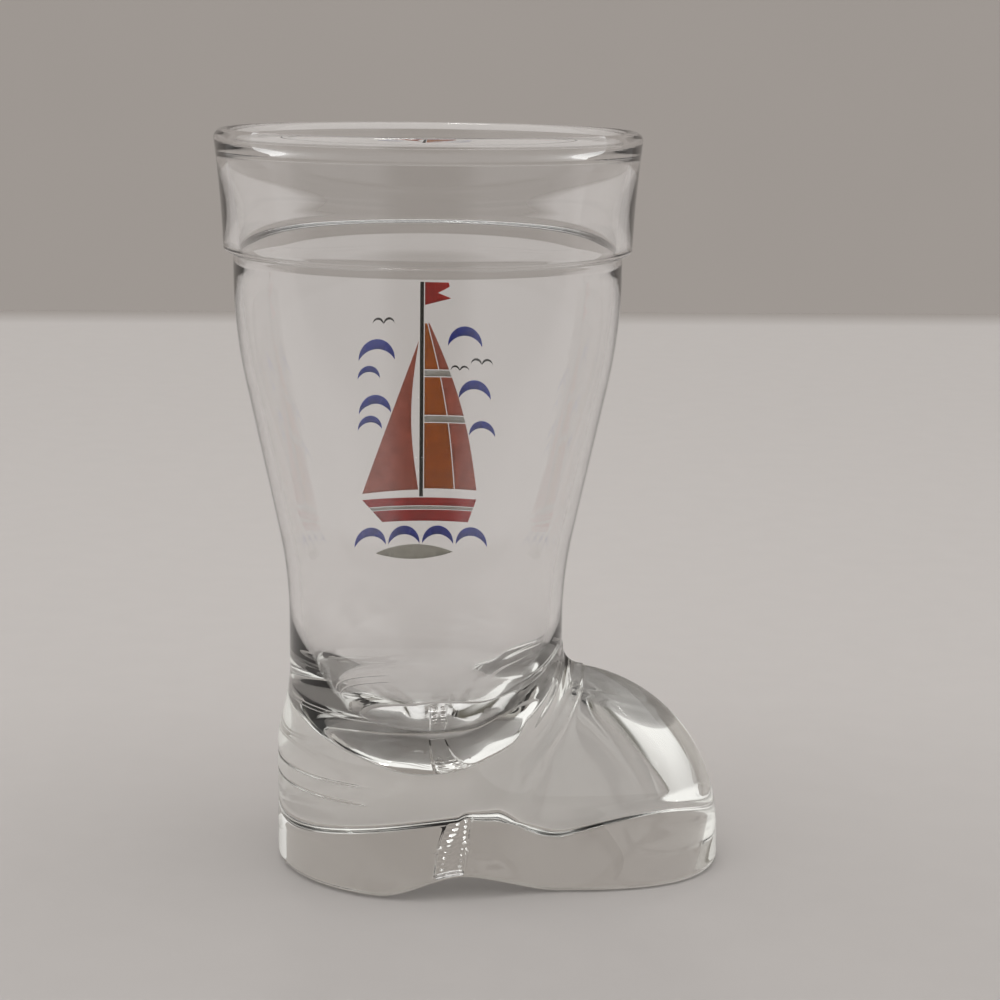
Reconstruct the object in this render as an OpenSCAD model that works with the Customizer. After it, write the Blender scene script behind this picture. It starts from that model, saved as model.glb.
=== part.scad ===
// Boot-shaped shot glass: one thick pressing of clear glass with a fired print of seven inks on one flank.
// Frame: the origin is at table height under the middle of the box, +Z up, +X to the toe, the print on +Y.

/* [Cuff] */
// Height from the table to the top of the rim
height = 80; // [76:0.5:90]
// Widest diameter of the cuff, under the rim
rim_d = 45.4; // [44.5:0.1:50]
// Diameter of the cuff at its lower edge
cuff_d = 43.5; // [42.5:0.1:44.4]
// Height of the cuff, from its ledge to the rim
cuff_h = 12.8; // [9:0.1:15]
// Thickness of the glass at the rounded rim
rim_wall = 2; // [1.7:0.05:2.6]
// Thickness of the cuff's wall under the rim
cuff_wall = 1.2; // [1:0.05:1.6]
// Extra thickness of the cuff's wall at its foot
cuff_swell = 0.35; // [0.1:0.05:0.6]
// Rounding of the cuff's lower edge
cuff_edge_r = 0.4; // [0.2:0.05:0.6]

/* [Shaft] */
// Diameter of the shaft under the cuff
shaft_d = 41.5; // [40.5:0.1:42]
// Height of the upright neck between the shaft's bulge and the cuff
neck_h = 2.3; // [1:0.1:4]
// Diameter of the ankle, the narrowest place
ankle_d = 30; // [28.5:0.1:31]
// Height of the ankle above the table
ankle_z = 27; // [26:0.1:29]
// Radius of the bulge below the cuff, seen from the side
bulge_r = 56; // [40:1:65]
// Radius of the hollow above the ankle, seen from the side
hollow_r = 48; // [35:1:55]

/* [Cup] */
// Thickness of the glass under the cup
floor_t = 10.2; // [9:0.1:12]
// Radius of the cup's round bottom
bowl_r = 10; // [8.5:0.1:11]
// Thickness of the shaft's wall where it leaves the foot
wall_low = 1.4; // [1.2:0.05:2]
// Thickness of the shaft's wall under the cuff
wall_top = 0.6; // [0.5:0.05:1]
// Height above the ankle at which the wall leaves the foot
wall_up = 1.5; // [0.5:0.1:6]
// Depth of the cup's bend below the cuff's ledge
bore_drop = 1.2; // [0.5:0.1:3]

/* [Heel] */
// Diameter of the heel
heel_d = 32.7; // [32:0.1:35]
// Height of the upright part of the heel
heel_h = 14; // [12.5:0.1:15]
// Height over which the heel draws in to the ankle
counter_h = 5.5; // [4:0.1:7]

/* [Toe] */
// Reach of the toe from the shaft's axis
toe_x = 32.7; // [30:0.1:36]
// Width of the foot at the ball
ball_w = 27.1; // [25:0.1:29]
// Height of the upright wall at the toe's tip
tip_wall_h = 3; // [1:0.1:5]
// Height of the upright wall along the toe's sides
side_wall_h = 8; // [5:0.1:10]
// Height of the instep where it runs into the ankle
instep_h = 21.8; // [20:0.1:23]
// Distance from the shaft's axis at which the ridge of the toe starts to fall
ridge_x = 14; // [12.5:0.1:15]
// Distance from the shaft's axis at which the toe's outline starts to close, at the sole
root_x = 14.4; // [12:0.1:18]
// The same distance at the instep
root_top_x = 7.8; // [4:0.1:12]
// Squareness of the toe's outline at the sole, where 2 is an ellipse
sole_square = 2.7; // [2.3:0.05:3]
// Squareness of the toe's outline up in the dome
dome_square = 1.8; // [1.4:0.05:2.4]
// Width of the rounding along the toe's ridge
ridge_w = 4; // [2:0.1:8]
// Radius of the fillet between the instep and the ankle
instep_r = 2.4; // [1.5:0.1:3.5]

/* [Sole] */
// Height of the arch's hollow above the table
arch_h = 2.25; // [1:0.05:3.5]
// Distance of the arch's highest place from the shaft's axis
arch_x = 3.8; // [2:0.1:6]
// Length of the arch on the heel's side
arch_back_l = 9; // [7:0.1:11]
// Length of the arch on the toe's side
arch_fore_l = 10.6; // [8:0.1:13]
// Width over which the heel runs into the ball of the foot
shank_w = 5; // [3:0.1:8]
// Rounding of the sole's lower edge
sole_r = 0.9; // [0.5:0.05:1.3]

/* [Print] */
// Thickness of the fired ink
film_t = 0.08; // [0.05:0.01:0.15]
// Gap between neighbouring inks
ink_gap = 0.12; // [0.08:0.01:0.4]
// Height of the waterline above the ankle
print_up = 7.4; // [6.5:0.1:9]
// Clear glass between the masthead and the neck
print_down = 5; // [3:0.1:8]
// Sideways shift of the mast from the shaft's axis
print_x = -0.7; // [-2:0.1:1]
// Length of the deck
hull_l = 13.5; // [12:0.1:15]
// Depth of the hull
hull_h = 2.6; // [2:0.1:3]
// Foot of the mainsail
main_w = 6.4; // [5.5:0.1:7]
// Thickness of the mast
mast_w = 0.45; // [0.35:0.05:0.7]
// Width of one wave
wave_w = 3.4; // [3:0.1:3.8]
// Span of a gull's wings
gull_w = 2.6; // [2:0.1:3]
// Width of the larger cloud
cloud_w = 5; // [4:0.1:6]

/* [Hidden] */
$fn = 96;

// Radii that the diameters above stand for
rim_rad = rim_d / 2;
cuff_rad = cuff_d / 2;
shaft_rad = shaft_d / 2;
ankle_rad = ankle_d / 2;
heel_rad = heel_d / 2;

// Points of an arc round c, from angle a to angle b in n steps
function arc(c, r, a, b, n) =
    [for (i = [0 : n]) c + r * [cos(a + (b - a) * i / n), sin(a + (b - a) * i / n)]];
// A list without its first point
function tail(list) = [for (i = [1 : len(list) - 1]) list[i]];
// Points between p and q, without the ends
function between(p, q, n) = [for (i = [1 : n]) p + (q - p) * i / (n + 1)];
// Eased step from 0 to 1
function ease(t) = let (u = max(0, min(1, t))) u * u * (3 - 2 * u);
// Larger of two values, blended over k
function blend_max(a, b, k) =
    let (h = max(0, min(1, 0.5 + 0.5 * (a - b) / k))) b + (a - b) * h + k * h * (1 - h);

// The cuff's ledge and the top of the shaft's bulge
ledge_z = height - cuff_h;
neck_z = ledge_z - neck_h;
lip_r = rim_wall / 2;
lip_z = height - lip_r;

// The shaft's side is an arc, a straight taper and an arc, and the taper follows from the other sizes.
// The two arcs are fillets, so they are limited by the length of the side that they round.
side_h = neck_z - ankle_z;
side_w = shaft_rad - ankle_rad;
side_fit = min(1, 0.9 * (side_h * side_h + side_w * side_w) / (2 * side_w * (bulge_r + hollow_r)));
bulge = bulge_r * side_fit;
hollow = hollow_r * side_fit;
side_s = bulge + hollow;
side_line = sqrt(side_h * side_h + (side_s - side_w) * (side_s - side_w) - side_s * side_s);
taper = atan2(side_h, side_s - side_w) - atan2(side_line, side_s);
side_steps = 8;
// Side of the shaft as [radius, height], from the ankle up to the ledge
shaft_side = concat(
    arc([ankle_rad + hollow, ankle_z], hollow, 180, 180 - taper, side_steps),
    arc([shaft_rad - bulge, neck_z], bulge, -taper, 0, side_steps),
    [[shaft_rad, ledge_z]]);

// The cup follows the shaft's side with a wall that thins upwards, and the cuff with one that swells at its
// foot and at the bead of the rim
bend_z = ledge_z - bore_drop;
knee_z = ankle_z + wall_up;
wall_p = 0.62;
function wall_rad(z) =
    lookup(z, [for (p = shaft_side) [p[1], p[0]]]) - wall_top
    - (wall_low - wall_top) * pow(max(0, bend_z - z) / (bend_z - knee_z), wall_p);
swell_p = 0.145;
swell_q = 0.92;
bead_p = 0.85;
function cuff_bore(t) =
    cuff_rad + (rim_rad - cuff_rad) * t - cuff_wall
    - cuff_swell * (1 - ease((t - swell_p) / (swell_q - swell_p)))
    - (rim_wall - cuff_wall) * ease((t - bead_p) / (1 - bead_p));
wall_steps = 12;
cuff_steps = 20;
cup_side = concat(
    [for (i = [0 : wall_steps]) let (z = knee_z + (bend_z - knee_z) * i / wall_steps) [wall_rad(z), z]],
    [for (i = [0 : cuff_steps]) [cuff_bore(i / cuff_steps), ledge_z + (lip_z - ledge_z) * i / cuff_steps]]);
// Below the wall the cup is a cone that runs into a ball
bowl_z = floor_t + bowl_r;
knee = [wall_rad(knee_z), knee_z - bowl_z];
cup_a = atan2(knee[0], knee[1]) - asin(bowl_r / norm(knee));
cup_r = bowl_r * cos(cup_a);
cup_z = bowl_z - bowl_r * sin(cup_a);

// Height of the sole above the table: flat under the heel and the ball, hollow under the arch
function sole_lift(x) =
    arch_h * ease(1 - (x < arch_x ? (arch_x - x) / arch_back_l : (x - arch_x) / arch_fore_l));

// Section of the toe at height z as [root, length, half width, squareness]
root_p = 0.5;
flank_p = 2.7;
square_h = 9.1;
square_p = 0.56;
function share(z, low, high) = max(0, min(1, (z - low) / (high - low)));
function toe_section(z) =
    let (fall = share(z, tip_wall_h, instep_h),
         flank = share(z, side_wall_h, instep_h),
         root = root_x + (root_top_x - root_x) * pow(share(z, 0, instep_h), root_p),
         half = ball_w / 2 * (1 - pow(flank, flank_p)))
    [root,
     max(0.05, ridge_x + (toe_x - ridge_x) * sqrt(1 - fall * fall) - root),
     max(0.05, sqrt(half * half + ridge_w * ridge_w * flank * (1 - flank))),
     sole_square + (dome_square - sole_square) * pow(share(z, 0, square_h), square_p)];
// Whether [x, y] lies outside such a section
function outside(x, y, s) = pow(max(0, x - s[0]) / s[1], s[3]) + pow(abs(y) / s[2], s[3]) > 1;
// Reach of the toe from the axis along d, found by halving an interval
function halve_reach(d, s, low, high, n) =
    let (mid = (low + high) / 2)
    n == 0 ? mid : outside(mid * d[0], mid * d[1], s) ? halve_reach(d, s, low, mid, n - 1) :
        halve_reach(d, s, mid, high, n - 1);
function toe_reach(a, z) =
    cos(a) <= 0.001 ? 0 : halve_reach([cos(a), sin(a)], toe_section(z), 0, toe_x + ball_w, 20);
// Height of the toe's top at a point, found in the same way
function halve_top(p, low, high, n) =
    let (mid = (low + high) / 2)
    n == 0 ? mid : outside(p[0], p[1], toe_section(mid)) ? halve_top(p, low, mid, n - 1) :
        halve_top(p, mid, high, n - 1);
// Reach of the fillet at the foot of the ankle, at angle a and height z
function fillet_reach(a, z) =
    let (top = halve_top((ankle_rad + instep_r / 2) * [cos(a), sin(a)], 0, instep_h, 16) + instep_r,
         t = min(top - z, instep_r))
    cos(a) <= 0.001 || z < side_wall_h ? 0 : t <= 0 ? ankle_rad + t :
        ankle_rad + instep_r - sqrt(instep_r * instep_r - t * t);
// Reach of the heel and its counter at height z
counter_slope = (heel_rad - ankle_rad) / counter_h;
function heel_reach(z) = heel_rad - max(0, z - heel_h) * counter_slope;
// Width of the blend between heel and toe: wide at the sole, a crease further up
crease = 1.6;
function blend_w(a, z) =
    let (w = shank_w + (crease - shank_w) * ease(share(z, side_wall_h, instep_h + instep_r)))
    0.05 + (w - 0.05) * ease(cos(a) / 0.45);
// Inset of the sole's rounded edge at height z
function edge_inset(z) = z < sole_r ? sole_r - sqrt(sole_r * sole_r - (sole_r - z) * (sole_r - z)) : 0;
// Reach of the foot at angle a and height z
function foot_reach(a, z) =
    blend_max(heel_reach(z), max(toe_reach(a, z), fillet_reach(a, z)), blend_w(a, z)) - edge_inset(z);
// Point of the foot, with the lower part lifted over the arch
arch_fade = 7;
function foot_spot(a, z) =
    let (r = foot_reach(a, z), x = r * cos(a))
    [x, r * sin(a), z + sole_lift(x) * max(0, 1 - z / arch_fade)];

// Angles of the foot's sections from the back of the heel to the tip of the toe, closest where the two meet
half_a = concat(
    [for (i = [0 : 9]) 180 - 9 * i],
    [for (i = [0 : 24]) 93 - 2.75 * i],
    [for (i = [1 : 9]) 27 - 3 * i]);
half_n = len(half_a);
ring_a = concat(half_a, [for (i = [half_n - 2 : -1 : 1]) -half_a[i]]);
ring_n = len(ring_a);
// Heights of the foot's sections: the rounded edge, the walls and the domed upper
edge_steps = 3;
dome_steps = 30;
foot_top = instep_h + instep_r + crease;
foot_z = concat(
    [for (i = [0 : edge_steps]) sole_r * (1 - cos(90 * i / edge_steps))],
    [for (i = [1 : dome_steps]) sole_r + (foot_top - sole_r) * i / dome_steps]);

// Foot: a loft of sections from the sole up into the ankle, each cell split along the fold that fits it best
module foot_loft() {
    rows = len(foot_z);
    spots = [for (z = foot_z, a = ring_a) foot_spot(a, z)];
    back = max([for (i = [0 : half_n - 1]) spots[i][0] <= arch_x - arch_back_l ? i : 0]);
    fore = min([for (i = [0 : half_n - 1]) spots[i][0] >= arch_x + arch_fore_l ? i : half_n - 1]);
    heel_flat = [concat([for (i = [back : -1 : 0]) i], [for (i = [1 : back]) ring_n - i])];
    ball_flat = [concat([for (i = [half_n - 1 : -1 : fore]) i], [for (i = [fore : half_n - 2]) ring_n - i])];
    hollow_strips = [for (i = [back : fore - 1]) [i + 1, i, (ring_n - i) % ring_n, ring_n - i - 1]];
    top = [[for (i = [0 : ring_n - 1]) (rows - 1) * ring_n + i]];
    side = [for (j = [0 : rows - 2], i = [0 : ring_n - 1])
        let (k = (i + 1) % ring_n,
             a = j * ring_n + i,
             b = j * ring_n + k,
             turn = (ring_a[i] + (k == 0 ? -180 : ring_a[k])) / 2,
             mid = 2 * foot_spot(turn, (foot_z[j] + foot_z[j + 1]) / 2),
             rising = norm(spots[a] + spots[b + ring_n] - mid) < norm(spots[b] + spots[a + ring_n] - mid))
        each rising ? [[a, b, b + ring_n], [a, b + ring_n, a + ring_n]] :
            [[a, b, a + ring_n], [b, b + ring_n, a + ring_n]]];
    polyhedron(spots, concat(heel_flat, hollow_strips, ball_flat, top, side));
}

// Shaft, neck, ledge, cuff and rounded rim as one revolve
module shaft_solid() {
    rotate_extrude() {
        polygon(concat(
            [[0, heel_h], [ankle_rad, heel_h]],
            shaft_side,
            arc([cuff_rad - cuff_edge_r, ledge_z + cuff_edge_r], cuff_edge_r, -90, 0, 3),
            [[rim_rad, lip_z], [0, lip_z]]));
        intersection() {
            translate([rim_rad - lip_r, lip_z]) circle(lip_r);
            translate([rim_rad - rim_wall, lip_z]) square([rim_wall, rim_wall]);
        }
    }
}

// Hollow of the cup: the cuff, the shaft, the cone and the round bottom
module cup_hollow() {
    rotate_extrude() {
        polygon(concat(
            [[0, cup_z], [cup_r, cup_z]],
            cup_side,
            [[rim_rad - 2 * rim_wall, height + rim_wall], [0, height + rim_wall]]));
        intersection() {
            translate([0, bowl_z]) circle(bowl_r);
            translate([0, bowl_z - 2 * bowl_r]) square([2 * bowl_r, 2 * bowl_r - bowl_r * sin(cup_a)]);
        }
    }
}

module glass_boot() {
    color([0.86, 0.88, 0.87, 0.45]) difference() {
        union() {
            foot_loft();
            shaft_solid();
        }
        cup_hollow();
    }
}

// Places in the print, measured from the foot of the mast at the waterline
print_z = ankle_z + print_up;
mast_top = neck_z - print_down - print_z;
sail_u = mast_w / 2 + ink_gap;
boom_v = hull_h + main_w * 0.16;
peak_v = mast_top - main_w * 0.38;
jib_v = peak_v - main_w * 0.47;
bow_u = -hull_l * 0.53;
band_h = main_w * 0.12;
strake_h = hull_h * 0.14;
// Sky strokes and gulls as shares of the deck's length, the mast's height and their own width
sky_spots = [[-0.4, 0.71, 0.72], [-0.47, 0.63, 0.44], [-0.415, 0.48, 0.64], [-0.46, 0.41, 0.48],
    [0.385, 0.77, 0.68], [0.475, 0.545, 0.64], [0.545, 0.385, 0.52]];
gull_spots = [[-0.34, 0.86, 1], [0.34, 0.66, 0.85], [0.535, 0.69, 1]];

// Film of ink on the shaft's +Y flank, as wide and high as the outline given as children
module film() {
    intersection() {
        rotate_extrude() polygon(concat(
            shaft_side,
            [for (i = [len(shaft_side) - 1 : -1 : 0]) shaft_side[i] + [film_t, 0]]));
        translate([print_x, rim_rad, print_z]) rotate([90, 0, 0]) linear_extrude(rim_rad) children();
    }
}

// Width of the mainsail at share t of its height
function leech(t) = main_w * (1 - t + 0.17 * sin(180 * t));
function sail_v(t) = boom_v + (peak_v - boom_v) * t;
// Mainsail between two shares of its width, m narrower at each side
module mainsail(low, high, m) {
    polygon(concat(
        [for (i = [0 : 10]) [sail_u + high * leech(i * 0.094) - (high < 1 ? m : 0), sail_v(i * 0.094)]],
        [for (i = [10 : -1 : 0]) [sail_u + low * leech(i * 0.094) + (low > 0 ? m : 0), sail_v(i * 0.094)]]));
}
// Cloth seams across the mainsail, m wider on each side
module seams(m) {
    for (k = [1 : 2]) {
        translate([0, sail_v(0.12 + 0.26 * k) - m]) square([2 * main_w, band_h + 2 * m]);
    }
}
// Jib with a hollow leech
module jib() {
    jib_low = hull_h + main_w * 0.14;
    polygon(concat([[bow_u, hull_h + main_w * 0.11]], [for (i = [0 : 8])
        let (t = i / 8) [-sail_u - main_w * 0.14 * sin(180 * t), jib_low + (jib_v - jib_low) * t]]));
}
// Hull with a raked bow and stern
module hull_side() {
    polygon([[hull_l * 0.426, 0], [hull_l / 2, hull_h], [bow_u, hull_h], [bow_u + hull_l * 0.18, 0]]);
}
// Rubbing strake along the hull, m wider on each side
module strake(m) {
    translate([-hull_l, hull_h / 2 - m]) square([2 * hull_l, strake_h + 2 * m]);
}
// Brush stroke bent like a wave crest or the edge of a cloud
module stroke(w) {
    difference() {
        circle(w * 0.6);
        translate([0, -w * 0.4]) circle(w * 0.7);
    }
}
// One gull, wings up
module gull(w) {
    for (s = [-1, 1]) {
        intersection() {
            translate([s * w / 4, 0]) difference() {
                circle(w / 4);
                translate([s * w * 0.02, -w * 0.09]) circle(w / 4);
            }
            translate([s > 0 ? w * 0.01 : -w, 0]) square([w * 0.99, w]);
        }
    }
}

// Share of the mainsail's width that is lit
fold_p = 0.58;

module ink_ochre() {
    color([0.70, 0.43, 0.19]) film() difference() {
        mainsail(0, fold_p, ink_gap / 2);
        seams(ink_gap / 2);
    }
}

module ink_rose() {
    color([0.74, 0.46, 0.40]) film() {
        difference() {
            mainsail(fold_p, 1, ink_gap / 2);
            seams(ink_gap / 2);
        }
        jib();
    }
}

module ink_red() {
    color([0.76, 0.15, 0.17]) film() {
        difference() {
            hull_side();
            strake(ink_gap / 2);
        }
        translate([sail_u, mast_top]) polygon(hull_h * [[0, -0.1], [0, -0.65], [1.2, -0.4]]);
    }
}

module ink_blue() {
    color([0.20, 0.33, 0.63]) film() {
        for (p = sky_spots) translate([p[0] * hull_l, p[1] * mast_top]) stroke(p[2] * cloud_w);
        for (i = [-1.5 : 1.5]) translate([i * wave_w * 1.22, -wave_w * 0.72]) stroke(wave_w * 0.94);
    }
}

module ink_black() {
    color([0.13, 0.12, 0.13]) film() {
        translate([-mast_w / 2, hull_h + ink_gap]) square([mast_w, mast_top - hull_h - ink_gap]);
        for (p = gull_spots) translate([p[0] * hull_l, p[1] * mast_top]) gull(p[2] * gull_w);
    }
}

// Shadow of the boat on the water
module ink_grey() {
    color([0.66, 0.63, 0.58]) film() translate([-hull_l * 0.06, -wave_w * 1.02]) intersection() {
        translate([0, -hull_l]) circle(hull_l * 1.06);
        translate([0, hull_l]) circle(hull_l * 1.06);
    }
}

module ink_cream() {
    color([0.93, 0.89, 0.80]) film() {
        intersection() {
            mainsail(0, 1, 0);
            seams(-ink_gap / 2);
        }
        intersection() {
            hull_side();
            strake(-ink_gap / 4);
        }
    }
}

// Moves a piece so that the origin lies under the middle of the glass's box
module placed() {
    translate([(rim_rad - toe_x) / 2, 0, 0]) children();
}

placed() glass_boot();
placed() ink_ochre();
placed() ink_rose();
placed() ink_red();
placed() ink_blue();
placed() ink_black();
placed() ink_grey();
placed() ink_cream();
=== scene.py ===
"""Boot-shaped shot glass: clear pressed glass with a fired colour print on the far flank."""
import math

import bpy
import numpy as np
from mathutils import Matrix, Vector
from mathutils.geometry import delaunay_2d_cdt


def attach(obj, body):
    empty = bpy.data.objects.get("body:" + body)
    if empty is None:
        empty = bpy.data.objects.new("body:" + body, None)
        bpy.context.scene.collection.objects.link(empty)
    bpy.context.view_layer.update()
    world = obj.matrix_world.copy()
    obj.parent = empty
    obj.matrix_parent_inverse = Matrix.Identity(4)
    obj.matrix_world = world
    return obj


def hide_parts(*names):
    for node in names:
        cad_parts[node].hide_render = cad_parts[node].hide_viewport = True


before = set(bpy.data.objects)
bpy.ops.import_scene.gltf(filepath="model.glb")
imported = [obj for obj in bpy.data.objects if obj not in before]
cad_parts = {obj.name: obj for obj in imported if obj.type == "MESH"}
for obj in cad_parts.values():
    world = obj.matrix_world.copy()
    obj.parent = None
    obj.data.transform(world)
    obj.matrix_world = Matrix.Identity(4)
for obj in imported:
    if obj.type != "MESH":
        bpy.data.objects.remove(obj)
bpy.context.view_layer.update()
scene = bpy.context.scene
MM = 0.001
AXIS_X = -5.0  # the shaft's axis, in a frame whose origin is under the middle of the box

# Shaft, cuff and cup, in millimetres
HEIGHT, RIM_R, CUFF_R, CUFF_H, RIM_WALL = 80.0, 22.7, 21.75, 12.8, 2.0
CUFF_WALL, CUFF_SWELL, SWELL_P, SWELL_Q, BEAD_P = 1.2, 0.4, 0.145, 0.92, 0.85
SHAFT_R, NECK_H, ANKLE_R, ANKLE_Z, BULGE_R, HOLLOW_R = 20.75, 2.3, 15.0, 27.0, 56.0, 48.0
FLOOR_T, BOWL_R, BORE_DROP = 10.2, 12.6, 1.2
WALL_LOW, WALL_TOP, WALL_UP, WALL_P = 1.4, 0.6, -3.0, 0.54
NECK_ROUND, LEDGE_ROUND, BEND_ROUND, KNEE_ROUND, CUFF_HOLLOW = 0.35, 0.45, 3.0, 25.0, 0.12
LEDGE_Z = HEIGHT - CUFF_H
NECK_Z = LEDGE_Z - NECK_H

# Foot, in millimetres from the shaft's axis, with x towards the toe
HEEL_R, HEEL_H, COUNTER_H, COUNTER_BEND, ANKLE_BEND = 16.35, 14.0, 5.5, 1.2, 0.5
TOE_X, BALL_Y, INSTEP_H, INSTEP_R = 32.7, 13.55, 21.8, 2.4
TIP_WALL, RIDGE_X = 3.0, 14.0
ROOT_LOW, ROOT_TOP, ROOT_P = 14.4, 7.8, 0.5
SIDE_WALL, FLANK_P, RIDGE_W = 8.0, 2.7, 4.0
SQUARE_LOW, SQUARE_TOP, SQUARE_Z, SQUARE_P = 2.7, 1.8, 9.1, 0.56
ARCH_X, ARCH_H, ARCH_BACK, ARCH_FORE, ARCH_FADE = 3.8, 2.25, 9.0, 10.6, 7.0
SOLE_R, CREASE, SHANK, JOIN_COS = 0.9, 1.6, 5.0, 0.45
FILLET_RISE, FILLET_COS, FILLET_FADE = 4.0, 0.57, 0.16
LEAST, FARTHEST, HALVINGS = 0.05, 40.0, 36

# Fine relief: two seam lines round the heel, and a studded channel across the sole
SEAMS, SEAM_W, SEAM_T, SEAM_COS, SEAM_FADE = (10.2, 12.1), 0.13, 0.13, 0.3, 0.25
STRIP_X, STRIP_W, STRIP_L, STRIP_T, STRIP_SIDE, STRIP_END = 2.5, 1.7, 13.4, 0.4, 0.3, 0.5
STUD_ROWS, STUD_R, STUD_STEP, STUD_H = (-0.8, 0.9), 0.4, 2.9, 0.7

# Mesh: points in a ring, rings of the sole with their shares of its reach, and gaps in the cup's profile
TURN, SOLE_RINGS, SOLE_SHARES, PROFILE_GAP = 512, 90, (0.02, 0.985), 0.4


def arc(centre, r, a, b, n):
    """Points along an arc between two angles in degrees."""
    t = np.radians(np.linspace(a, b, n + 1))
    return np.stack([centre[0] + r * np.cos(t), centre[1] + r * np.sin(t)], 1)


def line(p, q, n):
    """Points between p and q, without the ends."""
    p, q = np.asarray(p, float), np.asarray(q, float)
    return p + (q - p) * np.linspace(0, 1, n + 2)[1:-1, None]


def ease(t):
    t = np.clip(t, 0, 1)
    return t * t * (3 - 2 * t)


def blend_max(a, b, k):
    """The larger of two values, with the change between them rounded over k."""
    h = np.clip(0.5 + 0.5 * (a - b) / k, 0, 1)
    return b + (a - b) * h + k * h * (1 - h)


def arch_lift(x):
    """Height of the arch over the table along the foot."""
    return ARCH_H * ease(1 - np.where(x < ARCH_X, (ARCH_X - x) / ARCH_BACK, (x - ARCH_X) / ARCH_FORE))


def toe_section(z):
    """Root, length, half width and squareness of the toe's section at a height."""
    ridge = np.clip((z - TIP_WALL) / (INSTEP_H - TIP_WALL), 0, 1)
    flank = np.clip((z - SIDE_WALL) / (INSTEP_H - SIDE_WALL), 0, 1)
    root = ROOT_LOW + (ROOT_TOP - ROOT_LOW) * np.clip(z / INSTEP_H, 0, 1) ** ROOT_P
    length = np.maximum(LEAST, RIDGE_X + (TOE_X - RIDGE_X) * np.sqrt(1 - ridge ** 2) - root)
    half = BALL_Y * (1 - flank ** FLANK_P)
    half = np.maximum(LEAST, np.sqrt(half ** 2 + RIDGE_W ** 2 * flank * (1 - flank)))
    square = SQUARE_LOW + (SQUARE_TOP - SQUARE_LOW) * np.clip(z / SQUARE_Z, 0, 1) ** SQUARE_P
    return root, length, half, square


def toe_outside(x, y, z):
    root, length, half, square = toe_section(z)
    return (np.maximum(0, x - root) / length) ** square + (np.abs(y) / half) ** square > 1


def halve(outside, low, high):
    """Last value inside, found by halving the interval."""
    for _ in range(HALVINGS):
        mid = (low + high) / 2
        out = outside(mid)
        low, high = np.where(out, low, mid), np.where(out, mid, high)
    return low


def toe_reach(theta, z):
    c, s = np.cos(theta), np.sin(theta)
    low, high = np.zeros_like(theta), np.full_like(theta, FARTHEST)
    reach = halve(lambda r: toe_outside(r * c, r * s, z), low, high)
    return np.where(c <= 0, 0, reach)


def toe_top(x, y):
    return halve(lambda z: toe_outside(x, y, z), np.zeros_like(x), np.full_like(x, INSTEP_H))


def fillet_reach(theta, z):
    """Reach of the fillet between the toe's top and the ankle."""
    r = ANKLE_R + INSTEP_R / 2
    top = toe_top(r * np.cos(theta), r * np.sin(theta)) + INSTEP_R
    t = np.minimum(top - z, INSTEP_R)
    curve = ANKLE_R + INSTEP_R - np.sqrt(np.maximum(0, INSTEP_R ** 2 - np.maximum(t, 0) ** 2))
    return np.where(np.cos(theta) <= 0, 0, np.where(t <= 0, ANKLE_R + t, curve))


def heel_reach(z):
    """Heel and counter, with the bend between them rounded."""
    slope = (HEEL_R - ANKLE_R) / COUNTER_H
    return HEEL_R - slope * blend_max(z - HEEL_H, 0.0, COUNTER_BEND)


def foot_reach(theta, z):
    """Heel and toe run together low down and meet in a crease higher up."""
    k = SHANK + (CREASE - SHANK) * ease((z - SIDE_WALL) / (INSTEP_H + INSTEP_R - SIDE_WALL))
    k = LEAST + (k - LEAST) * ease(np.cos(theta) / JOIN_COS)
    toe = toe_reach(theta, z)
    if z > SIDE_WALL:
        fade = ease((z - SIDE_WALL) / FILLET_RISE) * ease((np.cos(theta) - FILLET_COS) / FILLET_FADE)
        toe = toe + np.maximum(0, fillet_reach(theta, z) - toe) * fade
    reach = blend_max(heel_reach(z), toe, k)
    if z < SOLE_R:
        reach = reach - (SOLE_R - math.sqrt(SOLE_R ** 2 - (SOLE_R - z) ** 2))
    if z >= HEEL_H:
        reach = blend_max(reach, ANKLE_R, ANKLE_BEND)
    seam = sum(math.exp(-((z - s) / SEAM_W) ** 2) for s in SEAMS)
    return reach - SEAM_T * seam * ease((-np.cos(theta) - SEAM_COS) / SEAM_FADE)


def strip_lift(x, y):
    """Shallow channel across the sole with two rows of studs in it."""
    u = x - STRIP_X
    channel = STRIP_T * ease((STRIP_W - np.abs(u)) / STRIP_SIDE) * ease((STRIP_L - np.abs(y)) / STRIP_END)
    wave = 0.5 + 0.5 * np.cos(2 * np.pi * y / STUD_STEP)
    studs = sum(np.exp(-((u - c) / STUD_R) ** 2) for c in STUD_ROWS) * wave
    return channel * (1 - STUD_H * studs)


def shaft_taper():
    """Slope in degrees of the straight between the shaft's two arcs."""
    s = BULGE_R + HOLLOW_R
    h = NECK_Z - ANKLE_Z
    w = s - (SHAFT_R - ANKLE_R)
    straight = math.sqrt(h * h + w * w - s * s)
    return math.degrees(math.atan2(h, w) - math.atan2(straight, s))


def shaft_side():
    """Side of the shaft as radius and height, from the ankle up to the neck."""
    taper = shaft_taper()
    low = arc((ANKLE_R + HOLLOW_R, ANKLE_Z), HOLLOW_R, 180, 180 - taper, 20)
    high = arc((SHAFT_R - BULGE_R, NECK_Z), BULGE_R, -taper, 0, 24)
    return np.concatenate([low, line(low[-1], high[0], 12), high])


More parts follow.
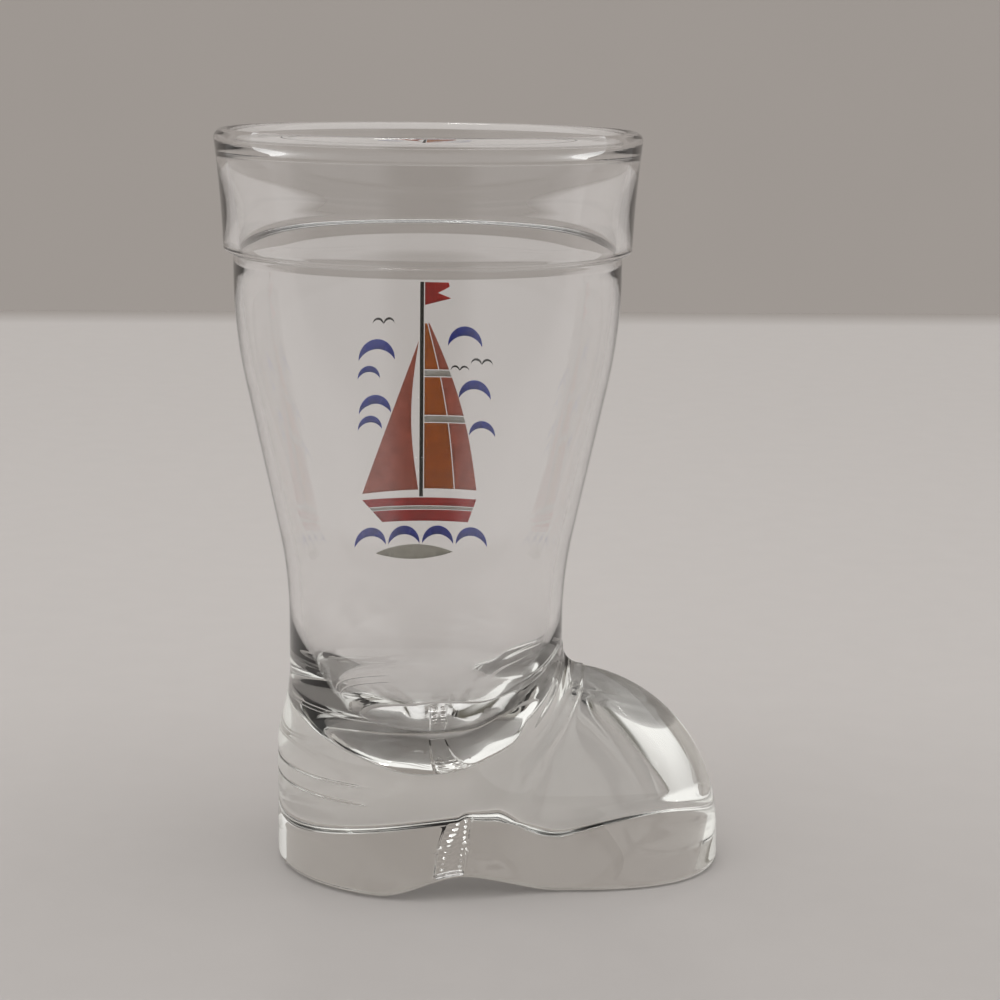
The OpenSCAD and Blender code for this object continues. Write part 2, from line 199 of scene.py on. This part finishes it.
def round_corner(p, q, r, radius, n):
    """Arc that rounds the corner q of the path p, q, r."""
    p, q, r = (np.asarray(v, float) for v in (p, q, r))
    a, b = (p - q) / np.linalg.norm(p - q), (r - q) / np.linalg.norm(r - q)
    half = math.acos(float(np.clip(a @ b, -1, 1))) / 2
    centre = q + (a + b) / np.linalg.norm(a + b) * radius / math.sin(half)
    s, e = q + a * radius / math.tan(half) - centre, q + b * radius / math.tan(half) - centre
    a0 = math.atan2(s[1], s[0])
    turn = (math.atan2(e[1], e[0]) - a0 + math.pi) % (2 * math.pi) - math.pi
    t = a0 + turn * np.linspace(0, 1, n + 1)
    return np.stack([centre[0] + radius * np.cos(t), centre[1] + radius * np.sin(t)], 1)


def outer_side():
    """Profile from the ankle up over the ledge and the cuff and round the rim."""
    lip = RIM_WALL / 2
    lip_z = HEIGHT - lip
    neck = round_corner((SHAFT_R, NECK_Z), (SHAFT_R, LEDGE_Z), (CUFF_R, LEDGE_Z), NECK_ROUND, 8)
    edge = round_corner((SHAFT_R, LEDGE_Z), (CUFF_R, LEDGE_Z), (RIM_R, lip_z), LEDGE_ROUND, 10)
    cuff = line(edge[-1], (RIM_R, lip_z), 24)
    t = (cuff[:, 1] - edge[-1][1]) / (lip_z - edge[-1][1])
    cuff[:, 0] -= CUFF_HOLLOW * np.sin(np.pi * t)
    rim = arc((RIM_R - lip, lip_z), lip, 0, 180, 28)
    return np.concatenate([shaft_side()[1:], line((SHAFT_R, NECK_Z), neck[0], 4), neck, edge, cuff, rim])


def shaft_r(z):
    """Radius of the shaft's outside at a height."""
    side = shaft_side()
    return np.interp(z, np.append(side[:, 1], LEDGE_Z), np.append(side[:, 0], SHAFT_R))


def cup_wall(z):
    """Inside of the shaft, whose wall thins upwards."""
    z = np.asarray(z, float)
    low, high = ANKLE_Z + WALL_UP, LEDGE_Z - BORE_DROP
    thick = WALL_TOP + (WALL_LOW - WALL_TOP) * np.clip((high - z) / (high - low), 0, None) ** WALL_P
    return np.stack([shaft_r(z) - thick, z], -1)


def cup_side():
    """Profile of the cup from the inside of the rim down to its round bottom, and the bottom's height."""
    bend_z = LEDGE_Z - BORE_DROP
    knee_z = ANKLE_Z + WALL_UP
    bowl_z = FLOOR_T + BOWL_R
    lip_z = HEIGHT - RIM_WALL / 2
    knee = cup_wall(knee_z)
    reach = math.hypot(knee[0], knee_z - bowl_z)
    slope = math.atan2(knee[0], knee_z - bowl_z) - math.asin(BOWL_R / reach)
    tangent = (BOWL_R * math.cos(slope), bowl_z - BOWL_R * math.sin(slope))
    t = np.linspace(1, 0, 70)[1:]
    swell = CUFF_SWELL * (1 - ease((t - SWELL_P) / (SWELL_Q - SWELL_P)))
    thick = CUFF_WALL + swell + (RIM_WALL - CUFF_WALL) * ease((t - BEAD_P) / (1 - BEAD_P))
    cuff = np.stack([CUFF_R + (RIM_R - CUFF_R) * t - thick, LEDGE_Z + (lip_z - LEDGE_Z) * t], 1)
    bend = round_corner(cuff[-1], cup_wall(bend_z), cup_wall(bend_z - 1), BEND_ROUND, 8)
    turn = round_corner(cup_wall(knee_z + 3), knee, tangent, KNEE_ROUND, 12)
    wall = cup_wall(np.linspace(bend[-1][1] - PROFILE_GAP, turn[0][1] + PROFILE_GAP, 60))
    bowl = arc((0, bowl_z), BOWL_R, -math.degrees(slope), -90, 48)
    return np.concatenate([cuff, line(cuff[-1], bend[0], 2), bend, wall, turn,
                           line(turn[-1], tangent, 16), bowl[:-1]]), bowl[-1][1]


def glass_mesh():
    """Closed surface of the glass: sole, foot, shaft, cuff, rim and cup, ring by ring."""
    theta = np.linspace(0, 2 * np.pi, TURN, endpoint=False)
    ring = np.stack([np.cos(theta), np.sin(theta)], 1)
    levels = np.concatenate([
        SOLE_R * (1 - np.cos(np.radians(np.linspace(0, 90, 11)))),
        np.linspace(SOLE_R, SIDE_WALL, 24)[1:-1],
        SIDE_WALL + (INSTEP_H - SIDE_WALL) * np.sin(np.radians(np.linspace(0, 88, 100))),
        np.linspace(INSTEP_H, ANKLE_Z, 30)] + [s + SEAM_W * np.linspace(-2.2, 2.2, 12) for s in SEAMS])
    levels.sort()
    rows = []
    first = foot_reach(theta, 0.0)
    for share in np.linspace(*SOLE_SHARES, SOLE_RINGS):
        rows.append(np.column_stack([ring * (first * share)[:, None], np.zeros(TURN)]))
    for z in levels:
        rows.append(np.column_stack([ring * foot_reach(theta, float(z))[:, None], np.full(TURN, z)]))
    cup, cup_floor = cup_side()
    for r, z in np.concatenate([outer_side(), cup]):
        rows.append(np.column_stack([ring * r, np.full(TURN, z)]))
    verts = np.concatenate(rows + [[[0, 0, 0]], [[0, 0, cup_floor]]])
    low = np.clip(verts[:, 2] / ARCH_FADE, 0, 1)
    verts[:, 2] += arch_lift(verts[:, 0]) * (1 - low) + np.where(
        verts[:, 2] < 1e-6, strip_lift(verts[:, 0], verts[:, 1]), 0)
    n = len(rows)
    i = np.arange(TURN)
    k = (i + 1) % TURN
    strip = np.stack([i, k, TURN + k, TURN + i], 1)
    quads = np.concatenate([j * TURN + strip for j in range(n - 1)])
    sole_fan = np.stack([np.full(TURN, n * TURN), k, i], 1)
    cup_fan = np.stack([np.full(TURN, n * TURN + 1), (n - 1) * TURN + i, (n - 1) * TURN + k], 1)
    return verts, quads.tolist() + sole_fan.tolist() + cup_fan.tolist()


# The print, in millimetres: outlines from the foot of the mast at the waterline, u towards the toe and v up
FILM_T, INK_GAP = 0.08, 0.12
FILM_IN = -0.01  # how deep a film reaches into the glass: below zero it leaves a fine gap
EDGE_STEP, GRID_STEP = 0.5, 0.7
PRINT_X, PRINT_Z, PRINT_DOWN = -0.7, ANKLE_Z + 7.4, 5.0
MAST_TOP, MAST_W = NECK_Z - PRINT_DOWN - PRINT_Z, 0.45
HULL_L, HULL_H, MAIN_W, WAVE_W, GULL_W, CLOUD_W = 13.5, 2.6, 6.4, 3.4, 2.6, 5.0
SAIL_U, BOW_U, STEM_RAKE = MAST_W / 2 + INK_GAP, -0.53 * HULL_L, 0.18
STERN_LOW, STERN_RAKE = 0.426, 0.074
BOOM_V, PEAK_V = HULL_H + 0.16 * MAIN_W, MAST_TOP - 0.38 * MAIN_W
JIB_V, JIB_RISE, JIB_TACK, JIB_CURVE = PEAK_V - 0.47 * MAIN_W, 0.14 * MAIN_W, 0.11 * MAIN_W, 0.14 * MAIN_W
ROACH, FOLD, SAIL_HEAD = 0.17, 0.58, 0.94
BANDS, BAND_H = (0.38, 0.64), 0.12 * MAIN_W
STRAKE_V, STRAKE_H = HULL_H / 2, 0.14 * HULL_H
WAVES, WAVE_STEP, WAVE_DOWN, WAVE_SHARE = (-1.5, -0.5, 0.5, 1.5), 1.22, 0.72, 0.94
SEA_U, SEA_V, SEA_R = -0.06 * HULL_L, -1.02 * WAVE_W, 1.06
PENNANT = ((0, 0.65), (1.2, 0.4), (0, 0.1))
# Strokes and wings lie between two arcs: radius, drop and angles in degrees at which the arcs meet
STROKE_R, STROKE_IN_R, STROKE_DROP = 0.6, 0.7, 0.4
STROKE_ENDS, STROKE_IN_ENDS = (-3.58, 183.58), (148.8, 31.2)
WING_R, WING_SHIFT, WING_DROP, WING_IN_ENDS = 0.25, 0.27, 0.09, (158.9, 21.1)
# Clouds and gulls: place as shares of HULL_L and MAST_TOP, and size
SKY = [(-0.4, 0.71, 0.72), (-0.47, 0.63, 0.44), (-0.415, 0.48, 0.64), (-0.46, 0.41, 0.48),
       (0.385, 0.77, 0.68), (0.475, 0.545, 0.64), (0.545, 0.385, 0.52)]
GULLS = [(-0.34, 0.86, 1.0), (0.34, 0.66, 0.85), (0.535, 0.69, 1.0)]


def box(u0, v0, u1, v1):
    return np.array([[u0, v0], [u1, v0], [u1, v1], [u0, v1]], float)


def between(v0, v1, left, right, n=16):
    """Outline between two edges given as functions of the height."""
    v = np.linspace(v0, v1, n)
    return np.concatenate([np.column_stack([right(v), v]), np.column_stack([left(v), v])[::-1]])


def sail_v(t):
    return BOOM_V + (PEAK_V - BOOM_V) * t


def luff(v):
    """The mainsail's edge at the mast."""
    return np.full_like(v, SAIL_U)


def leech(v):
    """The mainsail's free edge."""
    t = (v - BOOM_V) / (PEAK_V - BOOM_V)
    return SAIL_U + MAIN_W * (1 - t + ROACH * np.sin(np.pi * t))


def fold(v):
    """Line between the mainsail's lit and shaded cloth."""
    return SAIL_U + (leech(v) - SAIL_U) * FOLD


def lit(v):
    return fold(v) - INK_GAP / 2


def shaded(v):
    return fold(v) + INK_GAP / 2


def sail_panels(left, right):
    """The mainsail's panels between its bands."""
    a, b = (sail_v(t) for t in BANDS)
    gap = INK_GAP / 2
    cuts = [(BOOM_V, a - gap), (a + BAND_H + gap, b - gap), (b + BAND_H + gap, sail_v(SAIL_HEAD))]
    return [between(low, high, left, right) for low, high in cuts]


def jib():
    """Foresail between the bow and the mast."""
    rise = np.linspace(0, 1, 24)
    edge = np.column_stack([-SAIL_U - JIB_CURVE * np.sin(np.pi * rise),
                            HULL_H + JIB_RISE + (JIB_V - HULL_H - JIB_RISE) * rise])
    return np.concatenate([[[BOW_U, HULL_H + JIB_TACK]], edge])


def pennant():
    return np.array([[SAIL_U + u * HULL_H, MAST_TOP - v * HULL_H] for u, v in PENNANT])


def bow(v):
    return BOW_U + STEM_RAKE * HULL_L * (1 - v / HULL_H)


def stern(v):
    return HULL_L * (STERN_LOW + STERN_RAKE * v / HULL_H)


def sea():
    """Flat lens of water under the hull."""
    span = math.degrees(math.acos(1 / SEA_R))
    low = arc((SEA_U, SEA_V + HULL_L), SEA_R * HULL_L, 270 - span, 270 + span, 24)
    high = arc((SEA_U, SEA_V - HULL_L), SEA_R * HULL_L, 90 - span, 90 + span, 24)
    return np.concatenate([low[:-1], high[:-1]])


def stroke(u, v, w):
    """Brush stroke bent like a wave crest or the edge of a cloud."""
    outer = arc((u, v), STROKE_R * w, *STROKE_ENDS, 36)
    inner = arc((u, v - STROKE_DROP * w), STROKE_IN_R * w, *STROKE_IN_ENDS, 30)
    return np.concatenate([outer, inner[1:-1]])


def gull(u, v, w):
    """Two bent wings."""
    wings = []
    for s in (-1, 1):
        outer = arc((u + s * w * WING_R, v), w * WING_R, 0, 180, 18)
        inner = arc((u + s * w * WING_SHIFT, v - w * WING_DROP), w * WING_R, *WING_IN_ENDS, 18)
        wings.append(np.concatenate([outer, inner[1:-1]]))
    return wings


def refined(outline):
    """The same outline with points no further apart than EDGE_STEP."""
    ends = np.roll(outline, -1, 0)
    parts = []
    for p, q, d in zip(outline, ends, np.linalg.norm(ends - outline, axis=1)):
        count = max(1, int(math.ceil(d / EDGE_STEP)))
        parts.append(p + (q - p) * np.linspace(0, 1, count, endpoint=False)[:, None])
    return np.concatenate(parts)


def filled(outline):
    """Points and triangles that fill an outline, on a grid of GRID_STEP."""
    low, high = outline.min(0), outline.max(0)
    grid = [Vector((u, v)) for u in np.arange(low[0] + GRID_STEP / 2, high[0], GRID_STEP)
            for v in np.arange(low[1] + GRID_STEP / 2, high[1], GRID_STEP)]
    points = [Vector(p) for p in outline] + grid
    points, _, tris, *_ = delaunay_2d_cdt(points, [], [list(range(len(outline)))], 1, 1e-5)
    used = sorted({i for t in tris for i in t})
    index = {old: new for new, old in enumerate(used)}
    return np.array([points[i] for i in used]), [[index[i] for i in t] for t in tris]


def film_mesh(outlines):
    """Closed films of ink on the far flank, one for each outline."""
    verts, faces = [], []
    for outline in outlines:
        flat, tris = filled(refined(np.asarray(outline, float)))
        x, z = PRINT_X + flat[:, 0], PRINT_Z + flat[:, 1]
        near = len(verts)
        far = near + len(flat)
        for out in (-FILM_IN, FILM_T - FILM_IN):
            verts += np.column_stack([x, np.sqrt((shaft_r(z) + out) ** 2 - x ** 2), z]).tolist()
        sides = {e: None for a, b, c in tris for e in ((a, b), (b, c), (c, a))}
        faces += [[near + a, near + b, near + c] for a, b, c in tris]
        faces += [[far + c, far + b, far + a] for a, b, c in tris]
        faces += [[near + b, near + a, far + a, far + b] for a, b in sides if (b, a) not in sides]
    return verts, faces


def add_mesh(name, verts, faces, material, smooth=True):
    """Object from points in millimetres from the shaft's axis."""
    mesh = bpy.data.meshes.new(name)
    mesh.from_pydata(((np.asarray(verts) + (AXIS_X, 0, 0)) * MM).tolist(), [], faces)
    mesh.validate()
    mesh.update()
    mesh.polygons.foreach_set("use_smooth", np.full(len(mesh.polygons), smooth))
    mesh.materials.append(material)
    obj = bpy.data.objects.new(name, mesh)
    scene.collection.objects.link(obj)
    return obj


# Materials: colours in sRGB from 0 to 255, apart from the glass's tints, which are linear
GLASS_TINT, GLASS_IOR = (0.985, 0.983, 0.985, 1.0), 1.52
DEPTH_TINT, DEPTH_DENSITY = (0.76, 0.78, 0.69, 1.0), 8.0
BLOOM, BLOOM_RGB, BLOOM_SCALE = (0.001, 0.006), (226, 222, 214), 160
INK_UNEVEN, INK_SCALE, INK_ROUGH, INK_THROUGH = 0.14, 700, 0.42, 0.45
MOTTLE, STAGE_ROUGH, STAGE_SPECULAR = 0.009, 0.9, 0.1
# Stage tones and the places, in metres along y, between which they set in
DIMMING, FRONT, EDGE_FADE = (-0.09, 0.06), (-0.05, -0.09), 0.034
# The last two tones are painted shade for the near floor when seen through the glass or mirrored in it
EDGE_RGB, SHADE_THROUGH_RGB, SHADE_MIRRORED_RGB = (171, 165, 161), (142, 138, 132), (52, 48, 41)


def linear(rgb):
    """Linear colour of an sRGB colour given in 0 to 255."""
    c = [v / 255 for v in rgb]
    return tuple(v / 12.92 if v <= 0.04045 else ((v + 0.055) / 1.055) ** 2.4 for v in c) + (1.0,)


def new_material(name):
    mat = bpy.data.materials.new(name)
    mat.use_nodes = True
    tree = mat.node_tree
    return mat, tree, tree.nodes["Principled BSDF"]


def mixed(tree, low, high, factor):
    """Colour between two colours, driven by a factor."""
    node = tree.nodes.new("ShaderNodeMix")
    node.data_type = "RGBA"
    for socket, colour in (("A", low), ("B", high)):
        if isinstance(colour, tuple):
            node.inputs[socket].default_value = colour
        else:
            tree.links.new(colour, node.inputs[socket])
    tree.links.new(factor, node.inputs["Factor"])
    return node.outputs["Result"]


def noise(tree, scale, detail):
    node = tree.nodes.new("ShaderNodeTexNoise")
    node.inputs["Scale"].default_value = scale
    node.inputs["Detail"].default_value = detail
    coord = tree.nodes.new("ShaderNodeTexCoord")
    tree.links.new(coord.outputs["Object"], node.inputs["Vector"])
    return node.outputs["Fac"]


def glass_material():
    """Clear pressed glass, faintly olive in depth, with a thin uneven bloom of wear on its surface."""
    mat, tree, bsdf = new_material("clear_glass")
    bsdf.inputs["Base Color"].default_value = GLASS_TINT
    bsdf.inputs["Roughness"].default_value = 0.0
    bsdf.inputs["IOR"].default_value = GLASS_IOR
    bsdf.inputs["Transmission Weight"].default_value = 1.0
    bloom = tree.nodes.new("ShaderNodeBsdfDiffuse")
    bloom.inputs["Color"].default_value = linear(BLOOM_RGB)
    amount = tree.nodes.new("ShaderNodeMapRange")
    tree.links.new(noise(tree, BLOOM_SCALE, 5), amount.inputs["Value"])
    amount.inputs["To Min"].default_value = BLOOM[0]
    amount.inputs["To Max"].default_value = BLOOM[1]
    worn = tree.nodes.new("ShaderNodeMixShader")
    tree.links.new(amount.outputs["Result"], worn.inputs["Fac"])
    tree.links.new(bsdf.outputs["BSDF"], worn.inputs[1])
    tree.links.new(bloom.outputs["BSDF"], worn.inputs[2])
    depth = tree.nodes.new("ShaderNodeVolumeAbsorption")
    depth.inputs["Color"].default_value = DEPTH_TINT
    depth.inputs["Density"].default_value = DEPTH_DENSITY
    out = tree.nodes["Material Output"]
    tree.links.new(worn.outputs["Shader"], out.inputs["Surface"])
    tree.links.new(depth.outputs["Volume"], out.inputs["Volume"])
    return mat


def ink_material(name, rgb):
    """Fired enamel: the colour laid a little unevenly, with some light coming through it."""
    mat, tree, bsdf = new_material(name)
    thin = linear([min(255, c * (1 + INK_UNEVEN)) for c in rgb])
    thick = linear([c * (1 - INK_UNEVEN) for c in rgb])
    colour = mixed(tree, thick, thin, noise(tree, INK_SCALE, 4))
    tree.links.new(colour, bsdf.inputs["Base Color"])
    bsdf.inputs["Roughness"].default_value = INK_ROUGH
    through = tree.nodes.new("ShaderNodeBsdfTranslucent")
    tree.links.new(colour, through.inputs["Color"])
    film = tree.nodes.new("ShaderNodeMixShader")
    film.inputs["Fac"].default_value = INK_THROUGH
    tree.links.new(bsdf.outputs["BSDF"], film.inputs[1])
    tree.links.new(through.outputs["BSDF"], film.inputs[2])
    tree.links.new(film.outputs["Shader"], tree.nodes["Material Output"].inputs["Surface"])
    return mat


def stage_material(name, rgb, scale, near, edge=None):
    """Cloth or paint, faintly mottled, with painted shade towards the near end of the scene, and darker at
    its own far edge.

    Rays that passed through the glass, or were mirrored by it, find the near end darker: painted shade and
    painted dark reflection, standing in for the shadowed near side of the room.
    """
    mat, tree, bsdf = new_material(name)
    dark, pale = ([linear([c * (1 + k) for c in tone]) for k in (-MOTTLE, MOTTLE)] for tone in (near, rgb))
    place = tree.nodes.new("ShaderNodeSeparateXYZ")
    tree.links.new(tree.nodes.new("ShaderNodeTexCoord").outputs["Object"], place.inputs["Vector"])

    def along(low, high):
        rise = tree.nodes.new("ShaderNodeMapRange")
        tree.links.new(place.outputs["Y"], rise.inputs["Value"])
        rise.inputs["From Min"].default_value = low
        rise.inputs["From Max"].default_value = high
        return rise.outputs["Result"]

    def combined(operation, a, b):
        node = tree.nodes.new("ShaderNodeMath")
        node.operation = operation
        tree.links.new(a, node.inputs[0])
        tree.links.new(b, node.inputs[1])
        return node.outputs["Value"]

    mottle = noise(tree, scale, 4)
    # painted shade: the colour darkens towards the near end of the scene
    colour = mixed(tree, mixed(tree, *dark, mottle), mixed(tree, *pale, mottle), along(*DIMMING))
    if edge is not None:
        colour = mixed(tree, colour, linear(EDGE_RGB), along(edge - EDGE_FADE, edge))
    # painted shade: the near floor turns darker for rays that came through the glass or were mirrored by it
    path = tree.nodes.new("ShaderNodeLightPath")
    front = along(*FRONT)
    through, mirrored = path.outputs["Is Transmission Ray"], path.outputs["Is Glossy Ray"]
    colour = mixed(tree, colour, linear(SHADE_THROUGH_RGB), combined("MULTIPLY", through, front))
    mirrored = combined("SUBTRACT", mirrored, through)
    colour = mixed(tree, colour, linear(SHADE_MIRRORED_RGB), combined("MULTIPLY", mirrored, front))
    tree.links.new(colour, bsdf.inputs["Base Color"])
    bsdf.inputs["Roughness"].default_value = STAGE_ROUGH
    bsdf.inputs["Specular IOR Level"].default_value = STAGE_SPECULAR
    return mat


glass = add_mesh("boot_glass", *glass_mesh(), glass_material())
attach(glass, "root")
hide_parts("glass_boot")

INKS = {
    "ochre": ((244, 144, 20), sail_panels(luff, lit)),
    "rose": ((244, 150, 128), sail_panels(shaded, leech) + [jib()]),
    "red": ((232, 40, 34), [
        between(0, STRAKE_V - INK_GAP / 2, bow, stern),
        between(STRAKE_V + STRAKE_H + INK_GAP / 2, HULL_H, bow, stern),
        pennant()]),
    "blue": ((48, 82, 212), [stroke(u * HULL_L, v * MAST_TOP, w * CLOUD_W) for u, v, w in SKY] + [
        stroke(i * WAVE_W * WAVE_STEP, -WAVE_W * WAVE_DOWN, WAVE_W * WAVE_SHARE) for i in WAVES]),
    "black": ((24, 22, 22), [box(-MAST_W / 2, HULL_H + INK_GAP, MAST_W / 2, MAST_TOP)] + [
        wing for u, v, w in GULLS for wing in gull(u * HULL_L, v * MAST_TOP, w * GULL_W)]),
    "grey": ((236, 232, 218), [sea()]),
    "cream": ((252, 247, 234), [
        between(sail_v(t) + INK_GAP / 2, sail_v(t) + BAND_H - INK_GAP / 2, luff, leech, 4)
        for t in BANDS] + [
        between(STRAKE_V + INK_GAP / 4, STRAKE_V + STRAKE_H - INK_GAP / 4, bow, stern, 4)]),
}
for ink, (rgb, outlines) in INKS.items():
    piece = add_mesh("print_" + ink, *film_mesh(outlines), ink_material("enamel_" + ink, rgb))
    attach(piece, "root")
    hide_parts("ink_" + ink)

# Stage: a pale table with its far edge in view, and a grey wall behind it
TABLE_Z, TABLE_X, TABLE_NEAR, TABLE_EDGE, TABLE_TURN = -0.2, 1500, -1200, 527.0, 0.0415
# The table's near tone holds painted shade, darker towards the camera end
TABLE_RGB, TABLE_NEAR_SHADE_RGB, TABLE_SCALE = (207, 203, 201), (189, 185, 183), 160
WALL_Y, WALL_X, WALL_FOOT, WALL_HEAD = 1900, 4000, -1500, 3000
WALL_RGB, WALL_SCALE = (187, 181, 177), 6
table_cloth = stage_material("table_cloth", TABLE_RGB, TABLE_SCALE, TABLE_NEAR_SHADE_RGB, TABLE_EDGE * MM)
table = add_mesh("table", [(-TABLE_X, TABLE_NEAR, TABLE_Z), (TABLE_X, TABLE_NEAR, TABLE_Z),
                           (TABLE_X, TABLE_EDGE, TABLE_Z), (-TABLE_X, TABLE_EDGE, TABLE_Z)],
                 [[0, 1, 2, 3]], table_cloth)
table.rotation_euler.z = TABLE_TURN
wall_paint = stage_material("wall_paint", WALL_RGB, WALL_SCALE, WALL_RGB)
wall = add_mesh("wall", [(-WALL_X, WALL_Y, WALL_FOOT), (WALL_X, WALL_Y, WALL_FOOT),
                         (WALL_X, WALL_Y, WALL_HEAD), (-WALL_X, WALL_Y, WALL_HEAD)],
                [[0, 1, 2, 3]], wall_paint)

# Camera, fitted to the photograph
YAW, PITCH, ROLL = (math.radians(a) for a in (1.819, 11.127, 0.7))
CAMERA, SENSOR, LENS = (AXIS_X * MM, -0.252, 0.08961), 36.0, 2.351
fwd = Vector((math.sin(YAW) * math.cos(PITCH), math.cos(YAW) * math.cos(PITCH), -math.sin(PITCH)))
side = Vector((math.cos(YAW), -math.sin(YAW), 0.0))
up = side.cross(fwd)
right = side * math.cos(ROLL) + up * math.sin(ROLL)
up = up * math.cos(ROLL) - side * math.sin(ROLL)
cam_data = bpy.data.cameras.new("camera")
cam = bpy.data.objects.new("camera", cam_data)
scene.collection.objects.link(cam)
cam.matrix_world = Matrix.Translation(CAMERA) @ Matrix((right, up, -fwd)).transposed().to_4x4()
cam_data.sensor_width = SENSOR
cam_data.lens = LENS * SENSOR
cam_data.clip_start = 0.01
scene.camera = cam

# Light: an even room with a brighter ceiling, two small lamps and a dim corner behind the camera
ROOM, CEILING = (0.74, 0.723, 0.705, 1), (1.1, 1.087, 1.065, 1)
DIM, LAMP = (0.105, 0.096, 0.072, 1), (14, 14, 13.6, 1)
CEILING_SIDE, DIM_SIDE, LAMPS = (0, 0, 1), (0, -1, 0.1), ((0.3, 0.6, 0.75), (-0.09, 0.5, 0.86))
CEILING_COS, DIM_COS, LAMP_COS = (0.1, 0.9), (0.82, 0.97), (0.9978, 0.9988)
world = scene.world or bpy.data.worlds.new("room")
scene.world = world
world.use_nodes = True
room = world.node_tree
sky = room.nodes["Background"]
look = room.nodes.new("ShaderNodeTexCoord").outputs["Generated"]


def towards(direction, low, high):
    """Factor that rises from 0 to 1 as the look nears a direction, between two cosines."""
    dot = room.nodes.new("ShaderNodeVectorMath")
    dot.operation = "DOT_PRODUCT"
    room.links.new(look, dot.inputs[0])
    dot.inputs[1].default_value = Vector(direction).normalized()
    rise = room.nodes.new("ShaderNodeMapRange")
    rise.interpolation_type = "SMOOTHSTEP"
    room.links.new(dot.outputs["Value"], rise.inputs["Value"])
    rise.inputs["From Min"].default_value = low
    rise.inputs["From Max"].default_value = high
    return rise.outputs["Result"]


tone = mixed(room, ROOM, CEILING, towards(CEILING_SIDE, *CEILING_COS))
tone = mixed(room, tone, DIM, towards(DIM_SIDE, *DIM_COS))
for lamp in LAMPS:
    tone = mixed(room, tone, LAMP, towards(lamp, *LAMP_COS))
room.links.new(tone, sky.inputs["Color"])

scene.view_settings.view_transform = "Standard"
scene.cycles.max_bounces = 64
scene.cycles.transmission_bounces = 48
scene.cycles.caustics_refractive = True
